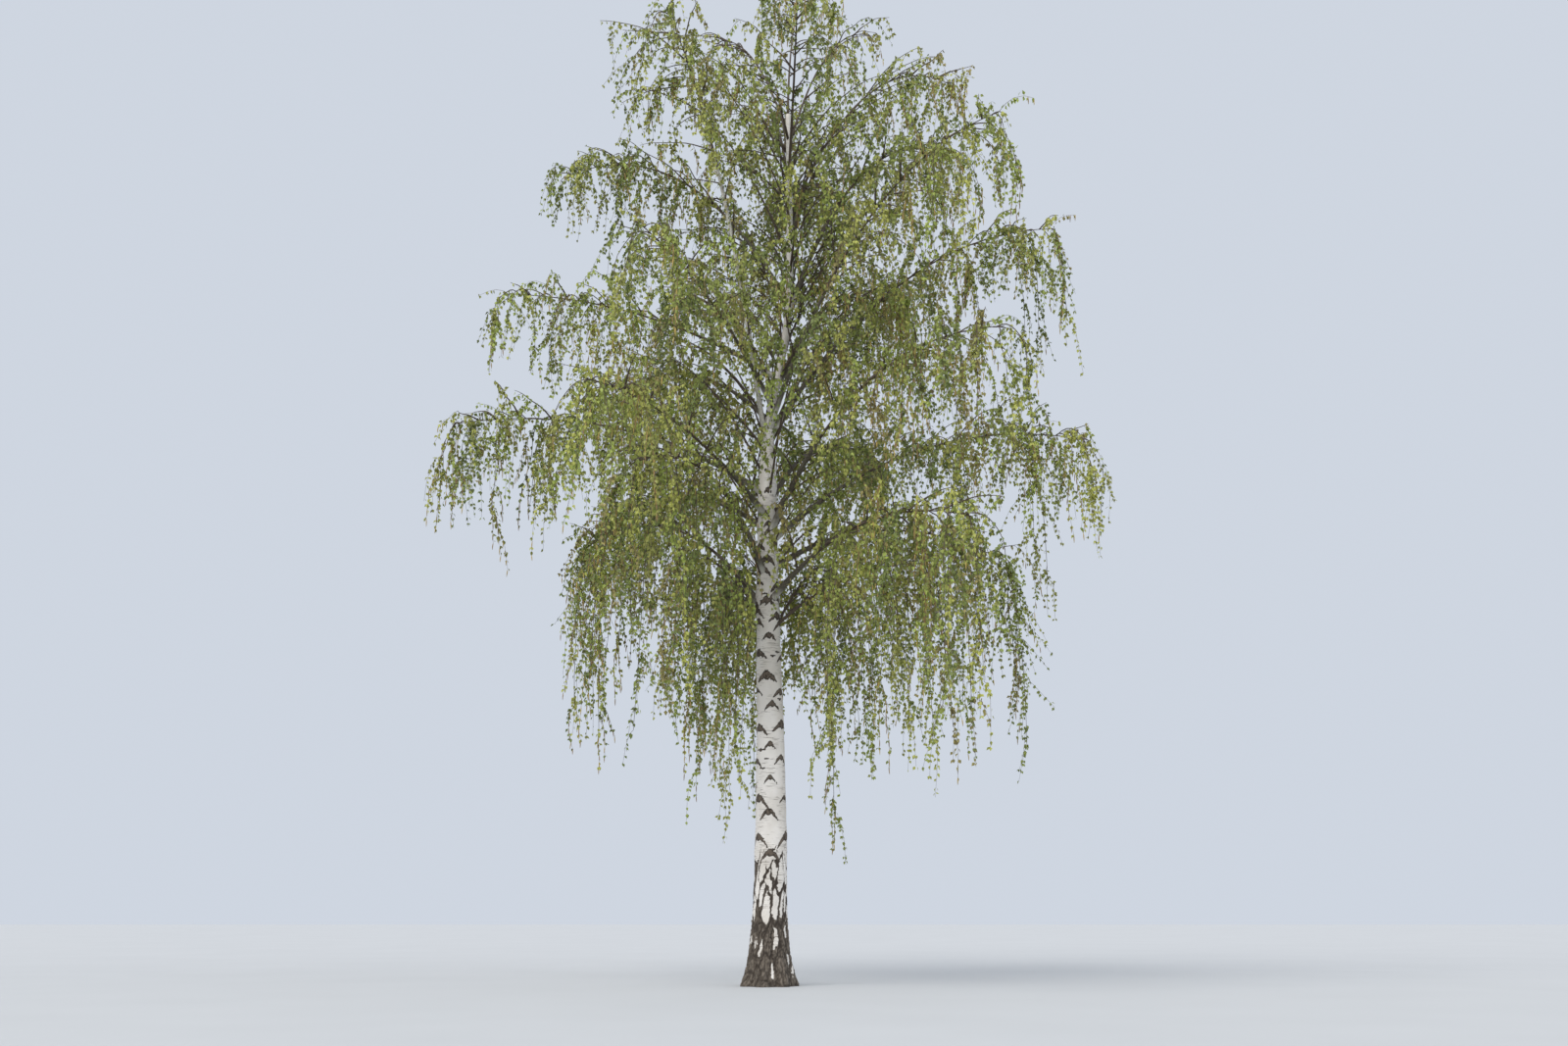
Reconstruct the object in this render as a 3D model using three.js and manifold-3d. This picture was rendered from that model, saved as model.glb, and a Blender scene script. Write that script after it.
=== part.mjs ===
// A silver birch grown in the open: a white trunk with a flared foot, boughs that rise and then
// arch outwards, and thin weeping twigs that hang from them in curtains. Millimetres, +Z up, with
// the origin in the middle of the flat cut at ground level. +X is the viewer's right, +Y is away.
//
// The crown is built in storeys. Each limb line is one curve from the trunk out to the crown's
// edge: its first part is a bare bough, and the rest is the stem of a mass of foliage. Twigs arch
// out from the stem and hang, and each blade on a twig stands for one hanging spray of leaves.

import * as THREE from 'three';
import { mergeVertices } from 'three/addons/utils/BufferGeometryUtils.js';
import Module from 'manifold-3d';

const wasm = await Module();
wasm.setup();

// Trunk: a taper, a flare with root lobes at the foot, and above the fork a thinner main leader
// that swings to the right.
const TRUNK_TOP = 9650;
const FORK_START = 5500;
const FORK_END = 6100;
const LEADER_RADIUS = 54;
const LEADER_TIP_RADIUS = 27;
const TAPER_HEIGHT = 11200;
const TAPER_POWER = 1.05;
const TRUNK_RADIUS = 192;
const FLARE = 110;
const FLARE_HEIGHT = 330;
const ROOT_LOBES = 7;
const LOBE_DEPTH = 0.1;
const LOBE_HEIGHT = 260;
const SWING = 200;
const SWING_START = 5850;
const SWING_END = 7500;
const WAVE = 22;
const WAVE_LENGTH = 1050;
const TRUNK_SIDES = 16;
const TRUNK_RINGS = 24;

// Every joint between two pieces keeps this gap. Points nearer than the tolerance to the surface
// they lie in are dropped where parts of a mass have been fused.
const GAP = 0.3;
const FUSE_TOLERANCE = 0.2;

// Boughs are tapering tubes with a collar where they leave the trunk.
const BOUGH_SIDES = 6;
const BOUGH_RINGS = 4;
const COLLAR = 0.45;
const COLLAR_SHARE = 0.05;
const BOUGH_TIP_RADIUS = 17;
const STEM_TIP_RADIUS = 6;
const STEM_SIDES = 3;
const STEM_RINGS = 4;

// Twigs and the blades that stand for sprays.
const TWIG_RADIUS = 13;
const TWIG_TIP_RADIUS = 11;
const TWIG_SIDES = 3;
const TWIG_RINGS = 2;
const TWIG_RISE = 0.2;
const TWIG_FORWARD = 0.55;
const TWIG_SIZES = [1, 0.8, 0.6, 0.42];
const BLADE_SIZES = [1, 0.75, 0.55];
const MOST_BLADES = 3;
const BLADE_STEP = 1.02;
const TIP_SHARE = 0.9;
const FIRST_SHARE = 0.2;
const BLADE_WIDTH_SHARE = 0.45;
const BLADE_THICKNESS_SHARE = 0.05;
const BLADE_WIDEST = 0.4;
const TIP_LEAN = [0.05, 0.25];
const SIDE_LEAN = [0.45, 0.8];

// Twigs hang in bunches: how far down one reaches depends on where it hangs.
const BUNCH_WIDTH = 186;
const BUNCH_PHASE = -2.57;
const BUNCH_DEPTH = 240;
const BUNCH_BEND = 1.2;
const BUNCH_LEAST = 0.55;

// Each mass keeps to its own space: the points that are nearer to its stem than to any other. A
// drop below a stem counts for less than a rise above it, because the foliage hangs.
const HANG_WEIGHT = 0.5;
const RISE_WEIGHT = 1.3;
const SPACE_MARGIN = 26;
const SPACE_START = 0.12;
const LIMB_CLEARANCE = 14;
const LIMB_STEP = 40;

const SEED = 1900;
const SEED_SPREAD = 2654435761;
const GOLDEN_SHARE = 0.618;
const INNER_BELOW = [130, 300];

// The storeys of the crown, from the lowest to the topmost. Heights are above the ground. attach is
// where its boughs leave the trunk, crest is the height of the curve's middle control point, tip is
// the height of its outer end, reach is how far out that is, and hang is how far twigs drop below
// it. leaning adds to crest and tip on the right and takes the same off on the left, and wider does
// that to the reach as a share. uneven lifts every other line and lowers the ones between, most at
// the front and back. bare is the share of the line that is a bough with no foliage.
// A line that is missing leaves room for the second leader or another line, or for a view in.
const STOREYS = [
  {
    name: 'low', lines: 5, bearing: 168, attach: [3900, 4500], crest: 5380, tip: 4750, reach: 2680,
    leaning: -100, wider: 0.26, uneven: 350, hang: 3650, spread: 900, bare: 0.3, radius: 42, blade: 640,
    twigs: 7, inner: [0, 2, 3, 4], innerReach: 0.5,
  },
  {
    name: 'broad', lines: 6, bearing: 2, attach: [4700, 5350], crest: 6300, tip: 5920, reach: 3450,
    leaning: -60, wider: -0.01, uneven: 480, hang: 2350, spread: 1050, bare: 0.3, radius: 40, blade: 660,
    twigs: 7, inner: [], innerReach: 0,
  },
  {
    name: 'middle', lines: 6, bearing: 4, attach: [5900, 6700], crest: 7900, tip: 7880, reach: 3080,
    leaning: 480, wider: 0.06, uneven: 430, hang: 2100, spread: 950, bare: 0.3, radius: 31, blade: 600,
    twigs: 6, inner: [0, 2], innerReach: 0.45,
  },
  {
    name: 'high', lines: 4, bearing: 350, attach: [7300, 7850], crest: 9650, tip: 9100, reach: 2250,
    leaning: -60, wider: -0.2, uneven: 320, hang: 1150, spread: 900, bare: 0.28, radius: 23, blade: 520,
    twigs: 7, inner: [0, 1, 3], innerReach: 0.45, missing: [3],
  },
  {
    name: 'leader', lines: 1, bearing: 208, attach: [5640, 5640], crest: 9400, tip: 10500, reach: 1380,
    leaning: 0, wider: 0, uneven: 0, hang: 1700, spread: 1150, bare: 0.55, radius: 30, blade: 470,
    twigs: 8, inner: [], innerReach: 0,
  },
  {
    name: 'crown', lines: 4, bearing: 10, attach: [8450, 9050], crest: 10650, tip: 10300, reach: 1850,
    leaning: -60, wider: 0.1, uneven: -200, hang: 1000, spread: 760, bare: 0, radius: 18, blade: 470,
    twigs: 7, inner: [], innerReach: 0, missing: [2],
  },
  {
    name: 'spire', lines: 3, bearing: 30, attach: [9250, 9450], crest: 10750, tip: 10850, reach: 1000,
    leaning: 0, wider: 0, uneven: 0, hang: 900, spread: 720, bare: 0, radius: 15, blade: 430,
    twigs: 6, inner: [], innerReach: 0, missing: [2],
  },
];
const TOP_LINE = {
  name: 'top', height: 11200, reach: 260, bearing: 60, hang: 850, spread: 950, blade: 430, twigs: 7,
};

const COLOURS = { trunk: 0xd2cdc4, bough: 0x5e574e, foliage: 0x7c8c3a };

// Seeded draws between 0 and 1, the same on every run.
function seededRandom(seed) {
  let state = (seed * SEED_SPREAD) % 4294967296;
  return () => {
    state = (state * 1664525 + 1013904223) % 4294967296;
    return state / 4294967296;
  };
}

const between = (low, high, share) => low + (high - low) * share;
const radians = (degrees) => (degrees * Math.PI) / 180;
const outwards = (bearing) => new THREE.Vector3(Math.cos(bearing), Math.sin(bearing), 0);

function smoothStep(share) {
  const s = Math.min(1, Math.max(0, share));
  return s * s * (3 - 2 * s);
}

function trunkCentre(height) {
  const swing = SWING * smoothStep((height - SWING_START) / (SWING_END - SWING_START));
  const wave = WAVE * Math.min(1, height / WAVE_LENGTH);
  return new THREE.Vector3(
    swing + wave * Math.sin(height / WAVE_LENGTH),
    wave * Math.sin(height / WAVE_LENGTH + 2),
    height,
  );
}

function trunkRadius(height) {
  const below = TRUNK_RADIUS * (1 - height / TAPER_HEIGHT) ** TAPER_POWER
    + FLARE * Math.exp(-height / FLARE_HEIGHT);
  const above = between(
    LEADER_RADIUS,
    LEADER_TIP_RADIUS,
    (height - FORK_START) / (TRUNK_TOP - FORK_START),
  );
  return between(below, above, smoothStep((height - FORK_START) / (FORK_END - FORK_START)));
}

// A closed solid from a three.js geometry.
function toSolid(geometry) {
  const bare = geometry.index ? geometry.toNonIndexed() : geometry.clone();
  bare.deleteAttribute('normal');
  bare.deleteAttribute('uv');
  const merged = mergeVertices(bare, 1e-3);
  return new wasm.Manifold(new wasm.Mesh({
    numProp: 3,
    vertProperties: merged.attributes.position.array,
    triVerts: new Uint32Array(merged.index.array),
  }));
}

function toGeometry(solid) {
  const mesh = solid.getMesh();
  const geometry = new THREE.BufferGeometry();
  geometry.setAttribute('position', new THREE.BufferAttribute(mesh.vertProperties, 3));
  geometry.setIndex(new THREE.BufferAttribute(mesh.triVerts, 1));
  geometry.computeVertexNormals();
  return geometry;
}

// The trunk, grown outwards by a clearance when it is used to cut the pieces that meet it.
function trunkSolid(clearance) {
  const geometry = new THREE.CylinderGeometry(1, 1, 1, TRUNK_SIDES, TRUNK_RINGS);
  const position = geometry.attributes.position;
  for (let i = 0; i < position.count; i += 1) {
    const unit = Math.min(1, Math.hypot(position.getX(i), position.getZ(i)));
    const angle = Math.atan2(-position.getZ(i), position.getX(i));
    const height = TRUNK_TOP * (position.getY(i) + 0.5) ** 1.5;
    const lobes = 1 + LOBE_DEPTH * Math.exp(-height / LOBE_HEIGHT) * Math.cos(ROOT_LOBES * angle);
    const radius = unit * (trunkRadius(height) * lobes + clearance);
    const centre = trunkCentre(height);
    position.setXYZ(
      i,
      centre.x + radius * Math.cos(angle),
      centre.y + radius * Math.sin(angle),
      height + (height === TRUNK_TOP ? clearance : 0),
    );
  }
  return toSolid(geometry);
}

// A tapering tube along the part of a curve from share t0 to share t1. All the curves are plane,
// so the plane's normal carries the rings without a twist. A tip radius of 0 makes a point.
function limbGeometry(curve, t0, t1, radiusAt, sides, rings, pointed) {
  const geometry = new THREE.CylinderGeometry(pointed ? 0 : 1, 1, 1, sides, rings);
  const position = geometry.attributes.position;
  const first = curve.v1.clone().sub(curve.v0);
  const normal = first.clone().cross(curve.v2.clone().sub(curve.v1)).normalize();
  for (let i = 0; i < position.count; i += 1) {
    const x = position.getX(i);
    const z = position.getZ(i);
    const share = position.getY(i) + 0.5;
    const unit = Math.hypot(x, z) > 1e-6 ? 1 : 0;
    const angle = Math.atan2(-z, x);
    const t = between(t0, t1, share);
    const tangent = curve.getTangent(t);
    const side = normal.clone().cross(tangent);
    const radius = unit * radiusAt(share);
    const point = curve.getPoint(t)
      .addScaledVector(side, radius * Math.cos(angle))
      .addScaledVector(normal, radius * Math.sin(angle));
    position.setXYZ(i, point.x, point.y, point.z);
  }
  return geometry;
}

// A flat, pointed blade from its root to its tip, with a ridge down the middle of one side.
function bladeGeometry({ root, axis, across, length }) {
  const geometry = new THREE.SphereGeometry(1, 3, 2);
  const position = geometry.attributes.position;
  const through = axis.clone().cross(across).normalize();
  const side = axis.clone().cross(through);
  for (let i = 0; i < position.count; i += 1) {
    const pole = Math.abs(position.getY(i)) > 0.5;
    const along = pole ? (1 - position.getY(i)) / 2 : BLADE_WIDEST;
    const point = root.clone().addScaledVector(axis, along * length);
    if (!pole) {
      const edge = position.getZ(i) / Math.sin(Math.PI / 3);
      point.addScaledVector(side, edge * 0.5 * length * BLADE_WIDTH_SHARE);
      point.addScaledVector(through, (position.getX(i) / 1.5) * length * BLADE_THICKNESS_SHARE);
    }
    position.setXYZ(i, point.x, point.y, point.z);
  }
  return geometry;
}

// One limb line of a storey: the curve from the trunk to the crown's edge, with its sizes. An
// inner line leaves the trunk between two boughs and stays short, to fill the crown near the trunk.
function storeyLine(storey, index, inner) {
  const draw = seededRandom(SEED + index * 31 + storey.attach[0] + (inner ? 7 : 0));
  const golden = (index * GOLDEN_SHARE) % 1;
  const place = storey.bearing + (360 * (index + (inner ? 0.5 : 0))) / storey.lines;
  const bearing = radians(place + between(-6, 6, draw()));
  const bend = radians(between(-9, 9, draw()));
  const right = Math.cos(bearing);
  const reach = storey.reach * (1 + storey.wider * right) * between(0.95, 1.03, draw())
    * (inner ? storey.innerReach : 1);
  const height = inner
    ? storey.attach[0] - between(...INNER_BELOW, golden)
    : between(...storey.attach, golden);
  const lift = storey.leaning * right
    + storey.uneven * Math.abs(Math.sin(bearing)) * (index % 2 ? 1 : -1);
  const crest = storey.crest + lift;
  const tip = storey.tip + lift;
  const base = trunkCentre(height);
  const middle = base.clone().addScaledVector(outwards(bearing), reach * 0.45);
  middle.z = inner ? between(height, crest, 0.5) : crest;
  const end = base.clone().addScaledVector(outwards(bearing + bend), reach);
  end.z = inner ? between(height, tip, 0.85) : tip;
  return {
    name: `${storey.name}_${inner ? 'inner_' : ''}${index + 1}`,
    curve: new THREE.QuadraticBezierCurve3(base, middle, end),
    bare: inner ? 0 : storey.bare,
    radius: inner ? storey.radius * 0.5 : storey.radius,
    hang: storey.hang,
    spread: storey.spread * (inner ? 0.85 : 1),
    blade: storey.blade,
    twigs: storey.twigs,
    seed: SEED + index * 101 + storey.attach[1] + (inner ? 13 : 0),
  };
}

// The leading shoot, which stands on the trunk's tip.
function topLine() {
  const base = trunkCentre(TRUNK_TOP);
  base.z += GAP;
  const end = base.clone().addScaledVector(outwards(radians(TOP_LINE.bearing)), TOP_LINE.reach);
  end.z = TOP_LINE.height;
  const middle = base.clone();
  middle.z = between(base.z, end.z, 0.5);
  return {
    name: TOP_LINE.name,
    curve: new THREE.QuadraticBezierCurve3(base, middle, end),
    bare: 0,
    radius: 16,
    hang: TOP_LINE.hang,
    spread: TOP_LINE.spread,
    blade: TOP_LINE.blade,
    twigs: TOP_LINE.twigs,
    seed: SEED,
  };
}

// How far a point is from a mass's stem, by the rule that shares out the crown.
function spaceDistance(point, line) {
  let nearest = Infinity;
  for (const s of line.stemPoints) {
    const weight = point.z < s.z ? HANG_WEIGHT : RISE_WEIGHT;
    const d = Math.hypot(point.x - s.x, point.y - s.y, weight * (point.z - s.z));
    nearest = Math.min(nearest, d);
  }
  return nearest;
}

function insideSpace(points, line, lines) {
  return points.every((p) => {
    const own = spaceDistance(p, line) + SPACE_MARGIN;
    return lines.every((other) => other === line || spaceDistance(p, other) > own);
  });
}

function clearOfLimbs(points, limbs) {
  return points.every((p) => limbs.every(
    (limb) => p.distanceTo(limb.centre) > limb.radius + LIMB_CLEARANCE,
  ));
}

function curvePoints(curve, t0, t1, count) {
  return Array.from({ length: count + 1 }, (_, i) => curve.getPoint(between(t0, t1, i / count)));
}

// A point that lies in the middle of a tube, which is straight from ring to ring.
function pointInTube(curve, t0, rings, share) {
  const ring = Math.min(rings - 1, Math.floor(share * rings));
  const [from, to] = [ring, ring + 1].map((r) => curve.getPoint(between(t0, 1, r / rings)));
  return from.lerp(to, share * rings - ring);
}

// Where a stem's twigs go: each leaves the stem to one side in turn, arches out, and hangs. The
// last one carries the stem on over the crown's edge. All draws are made before any is left out.
function twigPlans(line) {
  const draw = seededRandom(line.seed);
  const first = line.bare > 0 ? 0.06 : 0.16;
  return Array.from({ length: line.twigs }, (_, i) => {
    const last = i === line.twigs - 1;
    const along = last ? 1 : (i + 0.5 + between(-0.2, 0.2, draw())) / (line.twigs - 1);
    const share = between(first, 0.97, along);
    const sideways = (i % 2 ? -1 : 1) * (last ? 0.15 : 1);
    const width = line.spread * between(0.7, 1.05, draw()) * (1 - 0.45 * along) * (last ? 0.5 : 1);
    const drop = between(0.6, 1, draw());
    const rise = TWIG_RISE * (1 + draw());
    const tangent = line.curve.getTangent(between(line.bare, 1, share));
    const ahead = new THREE.Vector3(tangent.x, tangent.y, 0).normalize();
    const across = new THREE.Vector3(-ahead.y, ahead.x, 0);
    const way = ahead.multiplyScalar(last ? 1 : TWIG_FORWARD).addScaledVector(across, sideways);
    way.normalize();
    const blades = Array.from({ length: MOST_BLADES }, (__, k) => ({
      lean: between(...(k === 0 ? TIP_LEAN : SIDE_LEAN), draw()),
      turn: draw() * 2 * Math.PI,
      roll: between(-1, 1, draw()),
      length: line.blade * between(0.85, 1.12, draw()),
    }));
    const root = pointInTube(line.curve, line.bare, STEM_RINGS, share);
    const tip = root.clone().addScaledVector(way, width);
    const hang = Math.max(120, line.hang * drop * bunching(tip.x, tip.y) - line.blade);
    return { root, way, width, hang, rise, blades };
  });
}

function bunching(x, y) {
  const bent = x / BUNCH_WIDTH + BUNCH_PHASE + BUNCH_BEND * Math.sin(y / (2 * BUNCH_DEPTH));
  const wave = 0.7 * Math.sin(bent) + 0.3 * Math.sin(y / BUNCH_DEPTH);
  return between(BUNCH_LEAST, 1, 0.5 + 0.5 * wave);
}

function twigCurve(plan, size) {
  const shoulder = plan.root.clone().addScaledVector(plan.way, plan.width * 0.8 * size);
  shoulder.z += plan.width * plan.rise * size;
  const tip = plan.root.clone().addScaledVector(plan.way, plan.width * size);
  tip.z -= plan.hang * size;
  return new THREE.QuadraticBezierCurve3(plan.root, shoulder, tip);
}

// A blade hangs from its twig and leans out from it. Its probes are the points that have to lie
// inside the mass's space.
function bladeOn(curve, share, blade, size) {
  const root = pointInTube(curve, 0, TWIG_RINGS, share);
  const axis = outwards(blade.turn).multiplyScalar(blade.lean);
  axis.z = -1;
  axis.normalize();
  const across = outwards(blade.turn + Math.PI / 2 + blade.roll);
  const length = blade.length * size;
  const half = length * BLADE_WIDTH_SHARE * 0.5;
  const probes = Array.from({ length: 9 }, (_, i) => (
    root.clone().addScaledVector(axis, (length * i) / 8)
  ));
  const widest = root.clone().addScaledVector(axis, length * BLADE_WIDEST);
  probes.push(widest.clone().addScaledVector(across, half));
  probes.push(widest.clone().addScaledVector(across, -half));
  return { root, axis, across, length, probes };
}

// The blades that fit on a twig, from its tip upwards.
function bladesOn(path, plan, fits) {
  const placed = [];
  let share = TIP_SHARE;
  for (const blade of plan.blades) {
    if (share < FIRST_SHARE) break;
    for (const size of BLADE_SIZES) {
      const candidate = bladeOn(path, share, blade, size);
      if (fits(candidate.probes)) {
        placed.push(candidate);
        break;
      }
    }
    share -= (blade.length * BLADE_STEP) / path.getLength();
  }
  return placed;
}

// One mass of foliage: stem, twigs and blades fused into a single solid. A twig or blade that
// would leave the mass's space or touch a limb is made smaller, and left out if that's not enough.
function foliageSolid(line, lines, limbs, grownTrunk) {
  const { curve, bare } = line;
  const speed = curve.getPoint(bare).distanceTo(curve.getPoint(bare + 0.001)) / 0.001;
  const start = bare > 0 ? bare + GAP / speed : 0;
  const base = bare > 0 ? BOUGH_TIP_RADIUS : line.radius;
  const others = limbs.filter((limb) => limb.owner !== line);
  const fits = (points) => insideSpace(points, line, lines) && clearOfLimbs(points, others);
  let solid = toSolid(limbGeometry(
    curve, start, 1, (s) => between(base, STEM_TIP_RADIUS, s), STEM_SIDES, STEM_RINGS, true,
  ));
  for (const plan of twigPlans(line)) {
    const path = TWIG_SIZES.map((size) => twigCurve(plan, size))
      .find((candidate) => fits(curvePoints(candidate, 0.15, 1, 14)));
    const blades = path ? bladesOn(path, plan, fits) : [];
    if (blades.length === 0) continue;
    solid = solid.add(toSolid(limbGeometry(
      path, 0, 1, (s) => between(TWIG_RADIUS, TWIG_TIP_RADIUS, s), TWIG_SIDES, TWIG_RINGS, true,
    )));
    for (const blade of blades) solid = solid.add(toSolid(bladeGeometry(blade)));
  }
  solid = solid.simplify(FUSE_TOLERANCE);
  return bare > 0 ? solid : solid.subtract(grownTrunk);
}

function boughSolid(line, grownTrunk) {
  const radiusAt = (share) => between(line.radius, BOUGH_TIP_RADIUS, share)
    * (1 + COLLAR * Math.exp(-share / COLLAR_SHARE));
  return toSolid(limbGeometry(
    line.curve, 0, line.bare, radiusAt, BOUGH_SIDES, BOUGH_RINGS, false,
  )).subtract(grownTrunk);
}

// Points down the middle of every limb and stem, with the radius there. A stem's own twigs may
// touch it, so its points carry the line that owns them.
function limbSamples(lines) {
  const samples = [];
  for (let height = 0; height <= TRUNK_TOP; height += LIMB_STEP) {
    samples.push({ centre: trunkCentre(height), radius: trunkRadius(height) });
  }
  for (const line of lines) {
    const steps = Math.ceil(line.curve.getLength() / LIMB_STEP);
    for (let i = 0; i <= steps; i += 1) {
      const t = i / steps;
      const bough = t <= line.bare;
      samples.push({
        centre: line.curve.getPoint(t),
        radius: bough ? line.radius : BOUGH_TIP_RADIUS,
        owner: bough ? null : line,
      });
    }
  }
  return samples;
}

function addPiece(group, name, solid, colour) {
  const whole = solid.decompose().sort((a, b) => b.volume() - a.volume())[0];
  const material = new THREE.MeshStandardMaterial({ color: colour, roughness: 0.85, metalness: 0 });
  const mesh = new THREE.Mesh(toGeometry(whole), material);
  mesh.name = name;
  group.add(mesh);
}

function birch() {
  const lines = STOREYS.flatMap((storey) => [
    ...Array.from({ length: storey.lines }, (_, i) => i)
      .filter((i) => !storey.missing?.includes(i))
      .map((i) => storeyLine(storey, i, false)),
    ...storey.inner.map((i) => storeyLine(storey, i, true)),
  ]);
  lines.push(topLine());
  for (const line of lines) {
    line.stemPoints = curvePoints(line.curve, Math.max(line.bare, SPACE_START), 1, 7);
  }
  const limbs = limbSamples(lines);
  const grownTrunk = trunkSolid(GAP);
  const tree = new THREE.Group();
  addPiece(tree, 'trunk', trunkSolid(0), COLOURS.trunk);
  for (const line of lines) {
    if (line.bare > 0) addPiece(tree, `bough_${line.name}`, boughSolid(line, grownTrunk), COLOURS.bough);
    addPiece(tree, `foliage_${line.name}`, foliageSolid(line, lines, limbs, grownTrunk), COLOURS.foliage);
  }
  return tree;
}

export default birch();
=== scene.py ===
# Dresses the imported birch. The trunk and boughs get bark with real relief. Each mass of foliage is
# grown again from its stem by the rule that made its solid, and carried on with finer limbs, hanging
# shoots, leaves and catkins. The rule works in millimetres, and meshes are made in metres.

import math
from collections import Counter, defaultdict

import bpy
import numpy as np
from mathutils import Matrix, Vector


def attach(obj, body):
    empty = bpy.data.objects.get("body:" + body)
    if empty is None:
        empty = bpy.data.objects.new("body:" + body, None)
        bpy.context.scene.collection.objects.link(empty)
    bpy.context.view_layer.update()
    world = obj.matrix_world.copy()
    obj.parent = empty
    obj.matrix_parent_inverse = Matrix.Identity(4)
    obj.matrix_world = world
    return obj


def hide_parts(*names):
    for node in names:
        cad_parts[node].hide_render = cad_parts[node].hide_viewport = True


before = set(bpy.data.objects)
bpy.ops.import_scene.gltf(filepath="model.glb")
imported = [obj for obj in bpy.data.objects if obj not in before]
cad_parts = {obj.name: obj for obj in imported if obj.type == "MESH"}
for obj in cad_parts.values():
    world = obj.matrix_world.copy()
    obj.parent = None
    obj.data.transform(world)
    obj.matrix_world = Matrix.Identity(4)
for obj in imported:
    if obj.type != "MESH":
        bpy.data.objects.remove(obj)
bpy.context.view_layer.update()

# The rule's values, as in the part's source.
SEED = 1900
SEED_SPREAD = 2654435761
DRAWS = 4294967296
DRAW_FACTOR = 1664525
DRAW_SHIFT = 1013904223
TRUNK_TOP = 9650
FORK_START = 5500
FORK_END = 6100
LEADER_RADIUS = 54
LEADER_TIP_RADIUS = 27
TAPER_HEIGHT = 11200
TAPER_POWER = 1.05
TRUNK_RADIUS = 192
FLARE = 110
FLARE_HEIGHT = 330
ROOT_LOBES = 7
LOBE_DEPTH = 0.1
LOBE_HEIGHT = 260
SWING = 200
SWING_START = 5850
SWING_END = 7500
WAVE = 22
WAVE_LENGTH = 1050
COLLAR = 0.45
COLLAR_SHARE = 0.05
BOUGH_TIP_RADIUS = 17
STEM_RINGS = 4
TWIG_RINGS = 2
TWIG_RISE = 0.2
TWIG_FORWARD = 0.55
TWIG_WIDTH = (0.7, 1.05)
TWIG_NARROWING = 0.45
TWIG_DROP = (0.6, 1)
TWIG_SHOULDER = 0.8
LEAST_HANG = 120
FIRST_TWIG_ON_BOUGH = 0.06
FIRST_TWIG_ON_TRUNK = 0.16
LAST_TWIG = 0.97
TWIG_SIZES = (1, 0.8, 0.6, 0.42)
BLADE_SIZES = (1, 0.75, 0.55)
MOST_BLADES = 3
BLADE_STEP = 1.02
BLADE_WIDTH_SHARE = 0.45
BLADE_WIDEST = 0.4
BLADE_LENGTH = (0.85, 1.12)
BLADE_PROBES = 9
TIP_SHARE = 0.9
FIRST_SHARE = 0.2
TIP_LEAN = (0.05, 0.25)
SIDE_LEAN = (0.45, 0.8)
BUNCH_WIDTH = 186
BUNCH_PHASE = -2.57
BUNCH_DEPTH = 240
BUNCH_BEND = 1.2
BUNCH_LEAST = 0.55
HANG_WEIGHT = 0.5
RISE_WEIGHT = 1.3
SPACE_MARGIN = 26
SPACE_START = 0.12
SPACE_POINTS = 8
LIMB_CLEARANCE = 14
LIMB_STEP = 40
GOLDEN_SHARE = 0.618
LINE_TURN = 6
LINE_BEND = 9
LINE_REACH = (0.95, 1.03)
CREST_SHARE = 0.45
INNER_BELOW = (130, 300)
INNER_CREST = 0.5
INNER_TIP = 0.85
INNER_RADIUS = 0.5
INNER_SPREAD = 0.85
# The storeys of the crown, from the lowest to the topmost. attach is the heights where the lines
# leave the trunk, and bare is the share of a line that is a bough with no foliage. inner has the
# shorter lines that fill the crown near the trunk, and missing the lines that are left out.
STOREYS = [
    dict(name="low", lines=5, bearing=168, attach=(3900, 4500), crest=5380, tip=4750, reach=2680,
         leaning=-100, wider=0.26, uneven=350, hang=3650, spread=900, bare=0.3, radius=42,
         blade=640, twigs=7, inner=(0, 2, 3, 4), inner_reach=0.5),
    dict(name="broad", lines=6, bearing=2, attach=(4700, 5350), crest=6300, tip=5920, reach=3450,
         leaning=-60, wider=-0.01, uneven=480, hang=2350, spread=1050, bare=0.3, radius=40,
         blade=660, twigs=7),
    dict(name="middle", lines=6, bearing=4, attach=(5900, 6700), crest=7900, tip=7880, reach=3080,
         leaning=480, wider=0.06, uneven=430, hang=2100, spread=950, bare=0.3, radius=31,
         blade=600, twigs=6, inner=(0, 2), inner_reach=0.45),
    dict(name="high", lines=4, bearing=350, attach=(7300, 7850), crest=9650, tip=9100, reach=2250,
         leaning=-60, wider=-0.2, uneven=320, hang=1150, spread=900, bare=0.28, radius=23,
         blade=520, twigs=7, inner=(0, 1, 3), inner_reach=0.45, missing=(3,)),
    dict(name="leader", lines=1, bearing=208, attach=(5640, 5640), crest=9400, tip=10500, reach=1380,
         leaning=0, wider=0, uneven=0, hang=1700, spread=1150, bare=0.55, radius=30,
         blade=470, twigs=8),
    dict(name="crown", lines=4, bearing=10, attach=(8450, 9050), crest=10650, tip=10300, reach=1850,
         leaning=-60, wider=0.1, uneven=-200, hang=1000, spread=760, bare=0, radius=18,
         blade=470, twigs=7, missing=(2,)),
    dict(name="spire", lines=3, bearing=30, attach=(9250, 9450), crest=10750, tip=10850, reach=1000,
         leaning=0, wider=0, uneven=0, hang=900, spread=720, bare=0, radius=15,
         blade=430, twigs=6, missing=(2,)),
]
TOP_LINE = dict(
    name="top", height=11200, reach=260, bearing=60, radius=16, hang=850, spread=950, blade=430, twigs=7,
)
UP = np.array([0, 0, 1.0])


def seeded_draws(seed):
    """The source's draws between 0 and 1."""
    state = (seed * SEED_SPREAD) % DRAWS

    def draw():
        nonlocal state
        state = (state * DRAW_FACTOR + DRAW_SHIFT) % DRAWS
        return state / DRAWS

    return draw


def between(low, high, share):
    return low + (high - low) * share


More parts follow.
